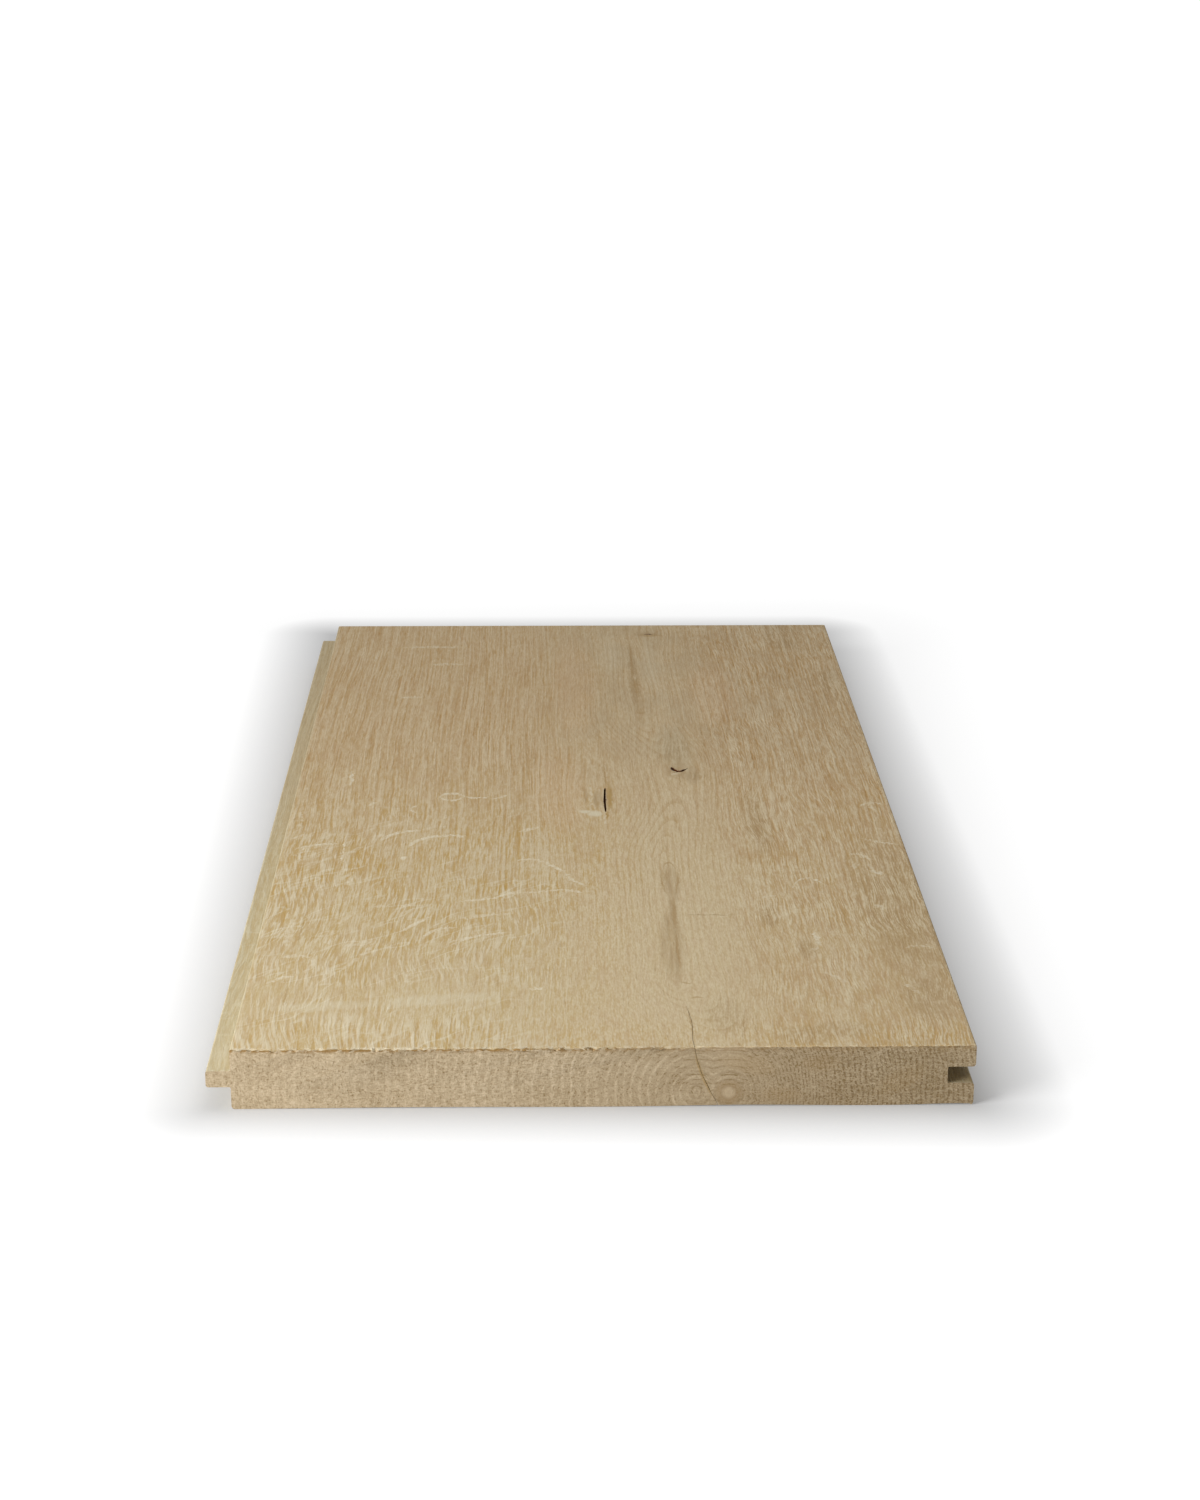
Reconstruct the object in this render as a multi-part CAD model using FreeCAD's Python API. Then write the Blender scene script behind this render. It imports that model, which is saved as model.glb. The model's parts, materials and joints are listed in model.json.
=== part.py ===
"""Wide plank floorboard: one solid oak board with a tongue along one edge and a groove along the other.

Millimetres. +X across the board, tongue at -X and groove at +X; +Y along the grain; +Z up.
The origin is on the underside, midway across the face and midway along the length.
"""

import FreeCAD, Part
import math
import os

# Board
LENGTH = 500.0
FACE_WIDTH = 240.0
THICKNESS = 21.0

# Tongue, and the room that the groove leaves round the tongue of the next board
WEAR_LAYER = 7.6
TONGUE_THICKNESS = 5.6
TONGUE_REACH = 8.0
TONGUE_PLAY = 0.1
GROOVE_END_ROOM = 1.0
LOWER_LIP_SETBACK = 0.3

# Roundings of the section
FACE_ARRIS = 0.6
BACK_ARRIS = 1.2
LIP_ARRIS = 1.0
TONGUE_NOSE = 0.8
TONGUE_ROOT = 0.5
GROOVE_ROOT = 0.5

# Broken edge where the sawn ends meet the face
END_ARRIS = 0.5

# Drying split at the near end: a thin wedge that leans as it runs from the face to the underside
SPLIT_LENGTH = 30.0
SPLIT_WIDTH = 0.35
SPLIT_FACE_X = 27.9
SPLIT_BACK_X = 36.2

# Open knot: a narrow slot along the grain in the face
KNOT_SLOT_LENGTH = 27.0
KNOT_SLOT_WIDTH = 1.1
KNOT_SLOT_DEPTH = 4.0
KNOT_SLOT_X = 5.3
KNOT_SLOT_FROM_NEAR_END = 240.5

# How far a cutting tool stands clear of the face that it enters
CUTTER_CLEARANCE = 1.0

half_width = FACE_WIDTH / 2
near_end = -LENGTH / 2
tongue_top = THICKNESS - WEAR_LAYER
tongue_bottom = tongue_top - TONGUE_THICKNESS
groove_top = tongue_top + TONGUE_PLAY
groove_bottom = tongue_bottom - TONGUE_PLAY
groove_depth = TONGUE_REACH + GROOVE_END_ROOM


def vector(x, y, z):
    return FreeCAD.Vector(x, y, z)


def rounded_outline(corners):
    """Closed wire through corners given as (point, radius), each rounded by an arc tangent to its two sides."""
    arcs = []
    for index, (corner, radius) in enumerate(corners):
        to_last = (corners[index - 1][0] - corner).normalize()
        to_next = (corners[(index + 1) % len(corners)][0] - corner).normalize()
        half_angle = to_last.getAngle(to_next) / 2
        reach = radius / math.tan(half_angle)
        inward = (to_last + to_next).normalize()
        middle = corner + inward * (radius / math.sin(half_angle) - radius)
        arcs.append((corner + to_last * reach, middle, corner + to_next * reach))
    edges = []
    for index, (start, middle, end) in enumerate(arcs):
        edges.append(Part.LineSegment(arcs[index - 1][2], start).toShape())
        edges.append(Part.Arc(start, middle, end).toShape())
    return Part.Wire(edges)


def section(y):
    """The tongue-and-groove section as a face across the board at y, listed from the underside's tongue corner."""
    tongue_tip = -half_width - TONGUE_REACH
    groove_end = half_width - groove_depth
    lower_lip = half_width - LOWER_LIP_SETBACK
    corners = [
        (-half_width, 0, BACK_ARRIS),
        (lower_lip, 0, BACK_ARRIS),
        (lower_lip, groove_bottom, LIP_ARRIS),
        (groove_end, groove_bottom, GROOVE_ROOT),
        (groove_end, groove_top, GROOVE_ROOT),
        (half_width, groove_top, LIP_ARRIS),
        (half_width, THICKNESS, FACE_ARRIS),
        (-half_width, THICKNESS, FACE_ARRIS),
        (-half_width, tongue_top, TONGUE_ROOT),
        (tongue_tip, tongue_top, TONGUE_NOSE),
        (tongue_tip, tongue_bottom, TONGUE_NOSE),
        (-half_width, tongue_bottom, TONGUE_ROOT),
    ]
    return Part.Face(rounded_outline([(vector(x, y, z), radius) for x, z, radius in corners]))


def break_end_edges(board):
    """Rounds the two edges where the sawn ends meet the flat of the face."""
    edges = []
    for edge in board.Edges:
        box = edge.BoundBox
        across_the_face = box.XLength > FACE_WIDTH / 2
        if across_the_face and box.ZMin > tongue_top:
            edges.append(edge)
    return board.makeFillet(END_ARRIS, edges)


def drying_split():
    """Cutter for the split: a thin triangle in plan, drawn along the line from the underside to the face."""
    lean = (SPLIT_FACE_X - SPLIT_BACK_X) / THICKNESS
    low = -CUTTER_CLEARANCE
    height = THICKNESS + 2 * CUTTER_CLEARANCE
    x = SPLIT_BACK_X + lean * low
    mouth = near_end - CUTTER_CLEARANCE
    half_mouth = SPLIT_WIDTH / 2 * (SPLIT_LENGTH + CUTTER_CLEARANCE) / SPLIT_LENGTH
    corners = [
        vector(x - half_mouth, mouth, low),
        vector(x + half_mouth, mouth, low),
        vector(x, near_end + SPLIT_LENGTH, low),
    ]
    plan = Part.Face(Part.makePolygon(corners + corners[:1]))
    return plan.extrude(vector(lean * height, 0, height))


def knot_slot():
    """Cutter for the open knot: a lens of two arcs, sunk into the face."""
    middle = near_end + KNOT_SLOT_FROM_NEAR_END
    floor = THICKNESS - KNOT_SLOT_DEPTH
    tips = [vector(KNOT_SLOT_X, middle + side * KNOT_SLOT_LENGTH / 2, floor) for side in (-1, 1)]
    bellies = [vector(KNOT_SLOT_X + side * KNOT_SLOT_WIDTH / 2, middle, floor) for side in (-1, 1)]
    sides = [
        Part.Arc(tips[0], bellies[1], tips[1]).toShape(),
        Part.Arc(tips[1], bellies[0], tips[0]).toShape(),
    ]
    return Part.Face(Part.Wire(sides)).extrude(vector(0, 0, KNOT_SLOT_DEPTH + CUTTER_CLEARANCE))


def floorboard():
    board = section(near_end).extrude(vector(0, LENGTH, 0))
    return break_end_edges(board).cut([drying_split(), knot_slot()])


os.makedirs("parts", exist_ok=True)
board = floorboard()
print("solids", len(board.Solids), "valid", board.isValid(), "volume mm3", round(board.Volume, 1))
board.exportStep("parts/floorboard.step")
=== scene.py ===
"""Wide oak floorboard as milled, with its grain, knots, ray flecks and torn sawn edge, on a pale floor.

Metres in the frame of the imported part: +X from the tongue to the groove, +Y along the grain, +Z up.
Marks on the wood are placed in millimetres, across from the middle of the face and along from the near end.
"""

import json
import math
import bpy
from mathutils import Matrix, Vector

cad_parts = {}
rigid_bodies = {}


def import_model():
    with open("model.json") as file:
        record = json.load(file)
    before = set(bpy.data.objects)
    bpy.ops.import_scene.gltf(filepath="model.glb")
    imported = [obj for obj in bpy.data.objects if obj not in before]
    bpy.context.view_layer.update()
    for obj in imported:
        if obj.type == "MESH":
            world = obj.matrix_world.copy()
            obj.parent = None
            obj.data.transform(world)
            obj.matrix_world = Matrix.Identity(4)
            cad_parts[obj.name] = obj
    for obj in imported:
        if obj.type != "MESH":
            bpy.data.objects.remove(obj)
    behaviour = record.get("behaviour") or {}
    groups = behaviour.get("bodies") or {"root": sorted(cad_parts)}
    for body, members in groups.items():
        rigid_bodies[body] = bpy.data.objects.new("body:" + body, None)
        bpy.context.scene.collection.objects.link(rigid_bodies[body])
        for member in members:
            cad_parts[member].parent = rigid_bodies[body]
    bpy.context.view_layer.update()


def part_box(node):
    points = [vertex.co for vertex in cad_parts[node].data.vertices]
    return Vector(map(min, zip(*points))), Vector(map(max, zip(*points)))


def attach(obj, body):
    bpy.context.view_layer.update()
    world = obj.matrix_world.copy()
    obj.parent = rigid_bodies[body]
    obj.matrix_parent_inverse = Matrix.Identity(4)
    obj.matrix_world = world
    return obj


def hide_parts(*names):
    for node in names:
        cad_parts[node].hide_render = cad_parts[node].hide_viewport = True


bl_info = {
    "name": "Oak floorboard",
    "version": (1, 0, 0),
    "blender": (4, 5, 0),
    "location": "3D View > Sidebar > Floorboard",
    "description": "Models a wide tongue-and-groove oak floorboard and the studio that it lies in",
    "category": "Add Mesh",
}

from collections import namedtuple

import bmesh
import bpy
from mathutils import Matrix, Vector

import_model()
LOW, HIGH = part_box("floorboard")

MM = 0.001


def linear(hex_colour):
    """Linear RGB of an sRGB hex colour."""
    values = [int(hex_colour[start:start + 2], 16) / 255 for start in (1, 3, 5)]
    return [v / 12.92 if v <= 0.04045 else ((v + 0.055) / 1.055) ** 2.4 for v in values]


def size_property(name, description, default):
    return bpy.props.FloatProperty(
        name=name, description=description, default=default, unit="LENGTH", precision=5
    )


def stage_property(name, description, default, unit="NONE"):
    return bpy.props.FloatProperty(name=name, description=description, default=default, unit=unit, min=0)


def colour_property(name, description, hex_colour):
    return bpy.props.FloatVectorProperty(
        name=name, description=description, default=linear(hex_colour), subtype="COLOR", min=0, max=1
    )


class BoardSizes(bpy.types.PropertyGroup):
    """Sizes of the milled board"""

    length: size_property("Length", "Along the grain", HIGH.y - LOW.y)
    face_width: size_property("Face width", "Across the face, without the tongue", 2 * HIGH.x)
    thickness: size_property("Thickness", "From the underside to the face", HIGH.z)
    tongue_reach: size_property("Tongue reach", "How far the tongue stands out", -LOW.x - HIGH.x)
    wear_layer: size_property("Wear layer", "From the face down to the tongue", 7.6 * MM)
    tongue_thickness: size_property("Tongue thickness", "From the tongue's underside to its top", 5.6 * MM)
    tongue_play: size_property("Tongue play", "Room above and below a tongue in the groove", 0.1 * MM)
    groove_end_room: size_property("Groove end room", "Room past a tongue's tip in the groove", 1.0 * MM)
    lip_setback: size_property("Lip setback", "How far the lower lip stands back", 0.3 * MM)
    face_arris: size_property("Face arris", "Rounding of the face's long edges", 0.6 * MM)
    back_arris: size_property("Back arris", "Rounding of the underside's long edges", 1.2 * MM)
    lip_arris: size_property("Lip arris", "Rounding at the mouth of the groove", 1.0 * MM)
    tongue_nose: size_property("Tongue nose", "Rounding of the tongue's tip", 0.8 * MM)
    tongue_root: size_property("Tongue root", "Rounding where the tongue leaves the board", 0.5 * MM)
    groove_root: size_property("Groove root", "Rounding at the end of the groove", 0.5 * MM)
    end_arris: size_property("End arris", "Rounding where the sawn ends meet the face", 0.5 * MM)
    torn: size_property("Torn edge", "Roughness left by the saw on the near edge", 0.5 * MM)


class OakColours(bpy.types.PropertyGroup):
    """Colours of unfinished oak"""

    deep: colour_property("Deep wood", "Between the flecks and fibres", "#AE9562")
    pale: colour_property("Pale wood", "Flecks and fibres", "#CBBD9E")
    plain_deep: colour_property("Plain deep wood", "Between the fibres away from the flecks", "#AF966D")
    plain_pale: colour_property("Plain pale wood", "Fibres away from the flecks", "#CEBF9E")
    # Golden wood is also the painted shadow beside the single ray strokes
    golden: colour_property("Golden wood", "Patches between the flecks on the tongue side", "#B08E4C")
    rosy: colour_property("Rosy wood", "Patches where the wood is a little pinker", "#B3957A")
    flush: colour_property("Flushed wood", "Warm patches on both sides of the pith further off", "#CCA27B")
    # Grey wood is also laid on the machined sides and the tongue's edge as painted shade
    grey: colour_property("Grey wood", "Patches over the pith towards the far end", "#A09A80")
    # Ray cream also paints the highlight along the near lip of the face
    ray: colour_property("Ray strokes", "Cream strokes of ray tissue that stand out singly", "#D9D0B8")
    pore: colour_property("Pores", "Open vessels, filled with shade", "#8A6F47")
    streak: colour_property("Streaks", "Brown stain along the pith and round the knots", "#9C7F52")
    stain: colour_property("Stain", "Even brown along the pith and round the knots", "#9C8460")
    # Warm wood is partly painted shade towards the far end
    warm: colour_property("Warm wood", "Mixed in towards the far end", "#AF8F68")
    resin: colour_property("Resin", "Golden wood beside the open knot", "#A08148")
    knot: colour_property("Knot", "Dark wood and bark in knots", "#3A2215")
    # Bark is laid in most deeply inside the knots, as painted light
    bark: colour_property("Bark", "Brown walls of the open knots", "#9C6038")
    bloom: colour_property("Bloom", "Grey-white bloom beside the open knot", "#D0C6AB")
    end_deep: colour_property("Deep end grain", "Pores and torn fibre on the sawn ends", "#85704E")
    vessel: colour_property("End vessels", "Rows of open vessels on the sawn ends", "#6F5838")
    # Splinters are torn fibre and also the painted shade under the lip
    splinter: colour_property("Splinters", "Torn fibre along the sawn edge", "#8A6A38")
    end_pale: colour_property("Pale end grain", "Wood between the pores on the sawn ends", "#C6B497")


class StageSettings(bpy.types.PropertyGroup):
    """Studio round the board"""

    lens: stage_property("Lens", "Focal length", 65.8, "CAMERA")
    key_power: stage_property("Key power", "Soft lamp at the left", 11.8, "POWER")
    top_power: stage_property("Top power", "Soft lamp overhead", 9, "POWER")
    ambient: stage_property("Ambient", "Even light from all round", 0.2)


def select_parts(kind, test):
    """In edit mode, selects the verts, edges or faces whose middle passes the test, and nothing else."""
    mode = {"verts": "VERT", "edges": "EDGE", "faces": "FACE"}[kind]
    bpy.ops.mesh.select_mode(type=mode)
    bpy.ops.mesh.select_all(action="DESELECT")
    mesh = bmesh.from_edit_mesh(bpy.context.edit_object.data)
    for part in getattr(mesh, kind):
        if kind == "verts":
            middle = part.co
        elif kind == "edges":
            middle = (part.verts[0].co + part.verts[1].co) / 2
        else:
            middle = part.calc_center_median()
        part.select = test(middle)
    mesh.select_flush_mode()
    bmesh.update_edit_mesh(bpy.context.edit_object.data)


def cut_across(test, place, normal):
    """Cuts the faces that pass the test along a plane."""
    select_parts("faces", test)
    bpy.ops.mesh.bisect(plane_co=place, plane_no=normal)


def near(a, b):
    return abs(a - b) < 0.02 * MM


# Cuts across the face and the underside, and steps along the board between the fine rows at its ends
FACE_CUTS = 199
BACK_CUTS = 39
LENGTH_STEPS = 70


def draw_section(board):
    """Shapes a plate, standing across the board at its near end, into the tongue-and-groove section."""
    half = board.face_width / 2
    y = -board.length / 2
    tongue_top = board.thickness - board.wear_layer
    tongue_bottom = tongue_top - board.tongue_thickness
    groove_top = tongue_top + board.tongue_play
    groove_bottom = tongue_bottom - board.tongue_play
    groove_end = half - board.tongue_reach - board.groove_end_room
    lip = half - board.lip_setback
    tip = -half - board.tongue_reach

    middle = (0, y, board.thickness / 2)
    bpy.ops.mesh.primitive_plane_add(size=1, location=middle, rotation=(math.pi / 2, 0, 0))
    bpy.ops.object.transform_apply()
    bpy.ops.object.mode_set(mode="EDIT")
    bpy.ops.transform.resize(value=(board.face_width, 1, board.thickness), center_override=middle)

    cut_across(lambda p: True, (0, y, 0), (1, 0, 0))
    for z in (tongue_bottom, tongue_top):
        cut_across(lambda p: p.x < 0, (0, y, z), (0, 0, 1))
    for z in (groove_bottom, groove_top):
        cut_across(lambda p: p.x > 0, (0, y, z), (0, 0, 1))
    cut_across(lambda p: p.x > 0 and groove_bottom < p.z < groove_top, (groove_end, y, 0), (1, 0, 0))

    select_parts("edges", lambda p: near(p.x, -half) and tongue_bottom < p.z < tongue_top)
    bpy.ops.mesh.extrude_region_move(TRANSFORM_OT_translate={"value": (tip + half, 0, 0)})
    select_parts("faces", lambda p: p.x > groove_end and groove_bottom < p.z < groove_top)
    bpy.ops.mesh.delete(type="FACE")
    select_parts("verts", lambda p: near(p.x, half) and p.z < groove_bottom + 0.01 * MM)
    bpy.ops.transform.translate(value=(lip - half, 0, 0))
    select_parts("faces", lambda p: True)
    bpy.ops.mesh.dissolve_faces()

    corners = (
        (-half, 0, board.back_arris),
        (lip, 0, board.back_arris),
        (lip, groove_bottom, board.lip_arris),
        (groove_end, groove_bottom, board.groove_root),
        (groove_end, groove_top, board.groove_root),
        (half, groove_top, board.lip_arris),
        (half, board.thickness, board.face_arris),
        (-half, board.thickness, board.face_arris),
        (-half, tongue_top, board.tongue_root),
        (tip, tongue_top, board.tongue_nose),
        (tip, tongue_bottom, board.tongue_nose),
        (-half, tongue_bottom, board.tongue_root),
    )
    for x, z, radius in corners:
        select_parts("verts", lambda p: near(p.x, x) and near(p.z, z))
        bpy.ops.mesh.bevel(affect="VERTICES", offset=radius, segments=4)

    select_parts("edges", lambda p: near(p.z, board.thickness))
    bpy.ops.mesh.subdivide(number_cuts=FACE_CUTS)
    select_parts("edges", lambda p: near(p.z, 0))
    bpy.ops.mesh.subdivide(number_cuts=BACK_CUTS)


# Rows of points near the ends, as shares of the end rounding
END_ROWS = (0, 0.3, 1, 2, 4, 8)


def draw_length(board):
    """Draws the section out along the grain, in short steps at the ends and longer ones between."""
    fine = [(b - a) * board.end_arris for a, b in zip(END_ROWS, END_ROWS[1:])]
    rest = board.length - 2 * sum(fine)
    steps = fine + [rest / LENGTH_STEPS] * LENGTH_STEPS + fine[::-1]
    select_parts("faces", lambda p: True)
    for step in steps:
        bpy.ops.mesh.extrude_region_move(TRANSFORM_OT_translate={"value": (0, step, 0)})
    bpy.ops.mesh.select_all(action="SELECT")
    bpy.ops.mesh.normals_make_consistent(inside=False)


def round_end_edges(board):
    """Rounds the edges where the sawn ends meet the face by pressing the last rows of points down."""
    for row in END_ROWS[:2]:
        drop = board.end_arris * (1 - math.sqrt(1 - (1 - row) ** 2))
        level = board.thickness - drop
        for end in (-1, 1):
            y = end * (board.length / 2 - row * board.end_arris)
            select_parts("verts", lambda p: near(p.y, y) and p.z > level)
            bpy.ops.transform.resize(value=(1, 1, 0), center_override=(0, y, level))


def tear_near_edge(board):
    """Roughens the near edge of the face, where the saw tore the fibres, most on the tongue side."""
    y = -board.length / 2
    edge = y + 0.4 * board.end_arris
    level = board.thickness - 1.2 * board.end_arris
    inside = board.face_width / 2 - 1 * MM
    # Stretches of the edge: where each starts and stops, its share of the roughness and its random seed
    zones = ((-inside, 0.25 * inside, 1.0, 11), (0.25 * inside, inside, 0.4, 12))
    for start, stop, share, seed in zones:
        select_parts("verts", lambda p: p.y < edge and p.z > level and start < p.x < stop)
        bpy.ops.transform.translate(value=(0, 0.8 * share * board.torn, -0.8 * share * board.torn))
        bpy.ops.transform.vertex_random(offset=share * board.torn, seed=seed)
        bpy.ops.mesh.select_random(ratio=0.7, seed=seed, action="DESELECT")
        bpy.ops.transform.translate(value=(0, 0.6 * share * board.torn, -1.2 * share * board.torn))


# Waves of the underside in millimetres: place across, lift and reach, and how soon they fade along it
WAVES = ((-60, 0.35, 45), (45, 0.5, 28), (114, 0.55, 14))
WAVE_FADE = 60


def wave_underside(board):
    """Lifts the underside a little near the sawn end, where the rough back was only skimmed."""
    mesh = bmesh.from_edit_mesh(bpy.context.edit_object.data)
    for point in mesh.verts:
        if near(point.co.z, 0):
            fade = math.exp(-(point.co.y + board.length / 2) / (WAVE_FADE * MM))
            for x, lift, reach in WAVES:
                point.co.z += lift * MM * fade * math.exp(-((point.co.x / MM - x) / reach) ** 2)
    bmesh.update_edit_mesh(bpy.context.edit_object.data)


# Gaps in the wood, in millimetres: middle line and half width at each station, and the way down.
SPLIT_STATIONS = (
    (28.9, -1, 0.07), (28.9, 1, 0.07), (28.6, 7.3, 0.07), (29.1, 14, 0.07), (29.1, 20.1, 0.07),
    (28.5, 27, 0.06), (28.0, 33, 0.03),
)
SPLIT_WAY_DOWN = ((0.95, -4.7), (1.8, -5.7), (2.7, -5.7), (2.2, -4.2), (0.7, -2.2))
SLOT_STATIONS = (
    (5.9, 254, 0.2), (5.75, 251.5, 0.4), (5.5, 246, 0.32), (5.4, 240, 0.34), (5.45, 235, 0.4),
    (5.5, 229, 0.4), (5.5, 225.5, 0.22),
)
SLOT_WAY_DOWN = ((0, -2.5), (0.3, -2))
CURL_STATIONS = (
    (33.9, 280.2, 0.15), (34.4, 279.2, 1.3), (35.2, 276.9, 1.3), (36.5, 275.2, 1.0), (38.0, 275.2, 0.8),
    (39.7, 277.0, 0.6), (41.0, 279.2, 0.15),
)
CURL_WAY_DOWN = ((0, -1.0), (0.2, -1.2))


def cut_gap(board, sizes, stations, turned, way_down, material):
    """Cuts a narrow gap into the face, its width across the board, or along it where it is turned."""
    bpy.ops.object.select_all(action="DESELECT")
    bpy.ops.mesh.primitive_grid_add(x_subdivisions=len(stations) - 1, y_subdivisions=1, size=1)
    blade = bpy.context.object
    above = 0.5 * MM
    corners = sorted(blade.data.vertices, key=lambda corner: (round(corner.co.x, 4), corner.co.y))
    for index, corner in enumerate(corners):
        x, y, half_width = stations[index // 2]
        shift = half_width if index % 2 else -half_width
        aside = (0, shift) if turned else (shift, 0)
        corner.co = ((x + aside[0]) * MM, (y + aside[1]) * MM - sizes.length / 2, sizes.thickness + above)
    bpy.ops.object.mode_set(mode="EDIT")
    bpy.ops.mesh.select_all(action="SELECT")
    for across, down in way_down:
        bpy.ops.mesh.extrude_region_move(TRANSFORM_OT_translate={"value": (across * MM, 0, down * MM)})
    bpy.ops.mesh.select_all(action="SELECT")
    bpy.ops.mesh.normals_make_consistent(inside=False)
    bpy.ops.object.mode_set(mode="OBJECT")
    blade.data.materials.append(material)

    bpy.context.view_layer.objects.active = board
    bpy.ops.object.modifier_add(type="BOOLEAN")
    gap = board.modifiers[-1]
    gap.object = blade
    gap.operation = "DIFFERENCE"
    gap.solver = "EXACT"
    gap.material_mode = "TRANSFER"
    bpy.ops.object.modifier_apply(modifier=gap.name)
    bpy.data.objects.remove(blade)


def add(tree, kind, *inputs, out=0, named=None, **settings):
    """Adds a shader node and returns one of its outputs; an input is a value or a socket to link."""
    node = tree.nodes.new("ShaderNode" + kind)
    for setting, value in settings.items():
        setattr(node, setting, value)
    for socket, value in [*enumerate(inputs), *(named or {}).items()]:
        if isinstance(value, bpy.types.NodeSocket):
            tree.links.new(value, node.inputs[socket])
        elif value is not None:
            node.inputs[socket].default_value = value
    return node.outputs[out] if node.outputs else node


def zone(tree, *factors):
    """Strength from place to place: factors multiplied, each a value or a ramp that eases in and out.

    A ramp is what it runs along, where it starts and stops, and the strength at its start and its stop.
    """
    strength = None
    for factor in factors:
        if isinstance(factor, tuple):
            factor = add(tree, "MapRange", *factor, interpolation_type="SMOOTHSTEP")
        strength = factor if strength is None else add(tree, "Math", strength, factor, operation="MULTIPLY")
    return strength


def blotches(tree, place, size, detail=1.0, shift=0.0, turn=0.0, edge=None):
    """Random pattern from 0 to 1, with blobs of a size in millimetres, sharpened between two values."""
    start = (shift, shift * 0.7, shift * 1.3)
    turned = add(tree, "Mapping", place, start, (0, 0, math.radians(turn)), (1, 1, 1)) if turn else place
    scaled = add(tree, "Mapping", turned, start, (0, 0, 0), [1 / s for s in size])
    noise = {"Vector": scaled, "Scale": 1.0, "Detail": detail, "Roughness": 0.55}
    pattern = add(tree, "TexNoise", named=noise)
    if edge:
        pattern = zone(tree, (pattern, *edge, 0, 1))
    return pattern


# Knots turn the grain aside: place, reach across and along, and how far the grain is pushed.
Knot = namedtuple("Knot", "x y across along push")
KNOTS = (
    Knot(3, 242, 15, 36, 5),
    Knot(37, 277, 13, 34, 7),
    Knot(23, 393, 9, 34, 4),
    Knot(31, 484, 10, 24, 5),
    Knot(32, 44, 11, 20, 5),
)

# Marks drawn on the wood: middle, half length and half width, turn from across the board in degrees,
# bow as a share of the half width, and how much of the mark is a soft edge. The last three default to a
# soft patch along the grain.
Mark = namedtuple("Mark", "x y half_length half_width turn bow soft", defaults=(90, 0, 0.98))


def stroke(start, middle, end, half_width, soft=0.6):
    """Mark that bows through three points."""
    chord = Vector(end) - Vector(start)
    sag = (Vector(start) + Vector(end)) / 2 - Vector(middle)
    normal = Vector((-chord.y, chord.x)).normalized()
    turn = math.degrees(math.atan2(chord.y, chord.x))
    return Mark(*middle, chord.length / 2, half_width, turn, -sag.dot(normal) / half_width, soft)


# Cream strokes of ray tissue that stand out, and fainter ones
RAY_MARKS = (
    stroke((-60.5, 244), (-56.5, 248.4), (-50, 244.5), 1.2),
    stroke((-60.5, 244), (-56.5, 240), (-50.5, 244), 1.2),
    stroke((-51, 244.2), (-46, 243), (-42, 243.4), 1.1),
    stroke((-40, 241.5), (-37, 243), (-34, 246.5), 0.9),
    stroke((-80.7, 194), (-77, 201), (-66, 205.5), 1.2),
    stroke((-71, 186), (-64, 196.5), (-50, 198), 1.3),
    stroke((-54, 199), (-52, 198), (-50, 197), 1.5),
    stroke((-111.5, 171), (-112.2, 179), (-111, 187), 0.6),
    stroke((-111.5, 185.5), (-107, 188.6), (-96, 191), 1.1),
    stroke((-96.2, 190), (-96, 180), (-95.7, 168), 0.5),
    stroke((-28.5, 202.5), (-25, 205), (-21.5, 207.5), 1.3),
    stroke((-69.2, 234), (-72, 229), (-68.8, 224), 0.7),
    stroke((-89.5, 233.5), (-88, 236), (-86.5, 238), 1.0),
    stroke((-98.8, 277), (-98.5, 268), (-98.5, 259), 0.8),
    stroke((-28.5, 171), (-24, 172), (-19.5, 169), 1.0),
    stroke((-20, 170), (-15, 163.5), (-11, 157), 1.0),
    stroke((-11.5, 158), (-8.5, 150), (-3.5, 144.5), 0.8),
    stroke((-49, 129), (-43, 130), (-36, 132), 1.1),
    stroke((-37, 131.5), (-30, 137), (-21, 136.5), 1.0),
    stroke((-22, 136.5), (-14, 139.5), (-4, 137), 1.0),
    stroke((-70.5, 123), (-69.3, 124.5), (-68, 125.5), 1.4),
    stroke((-24.3, 48), (-22, 47.5), (-19.7, 48), 1.1),
    stroke((-73, 171.5), (-72.7, 173.5), (-72, 176), 0.9),
    stroke((-61, 94.5), (-58, 100.5), (-50, 103.8), 1.0),
    stroke((-49.5, 90.5), (-43, 95), (-30.5, 99.5), 1.0),
    stroke((-69.5, 100), (-65, 107), (-60, 114.5), 0.9),
    stroke((-113, 54), (-109, 57.5), (-104.5, 60), 1.0),
    stroke((76.9, 97), (77.1, 91), (77.5, 83), 0.9),
    stroke((105.5, 192.6), (111, 189), (119.4, 185.7), 0.9),
    stroke((73, 141), (78.7, 150.7), (86, 142), 0.9),
    stroke((104, 158), (106, 156.4), (108, 153), 1.5),
    stroke((98, 176), (102.5, 174.5), (105, 170), 0.9),
    stroke((108, 231), (112, 234.5), (117, 232.5), 1.0),
)
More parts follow.
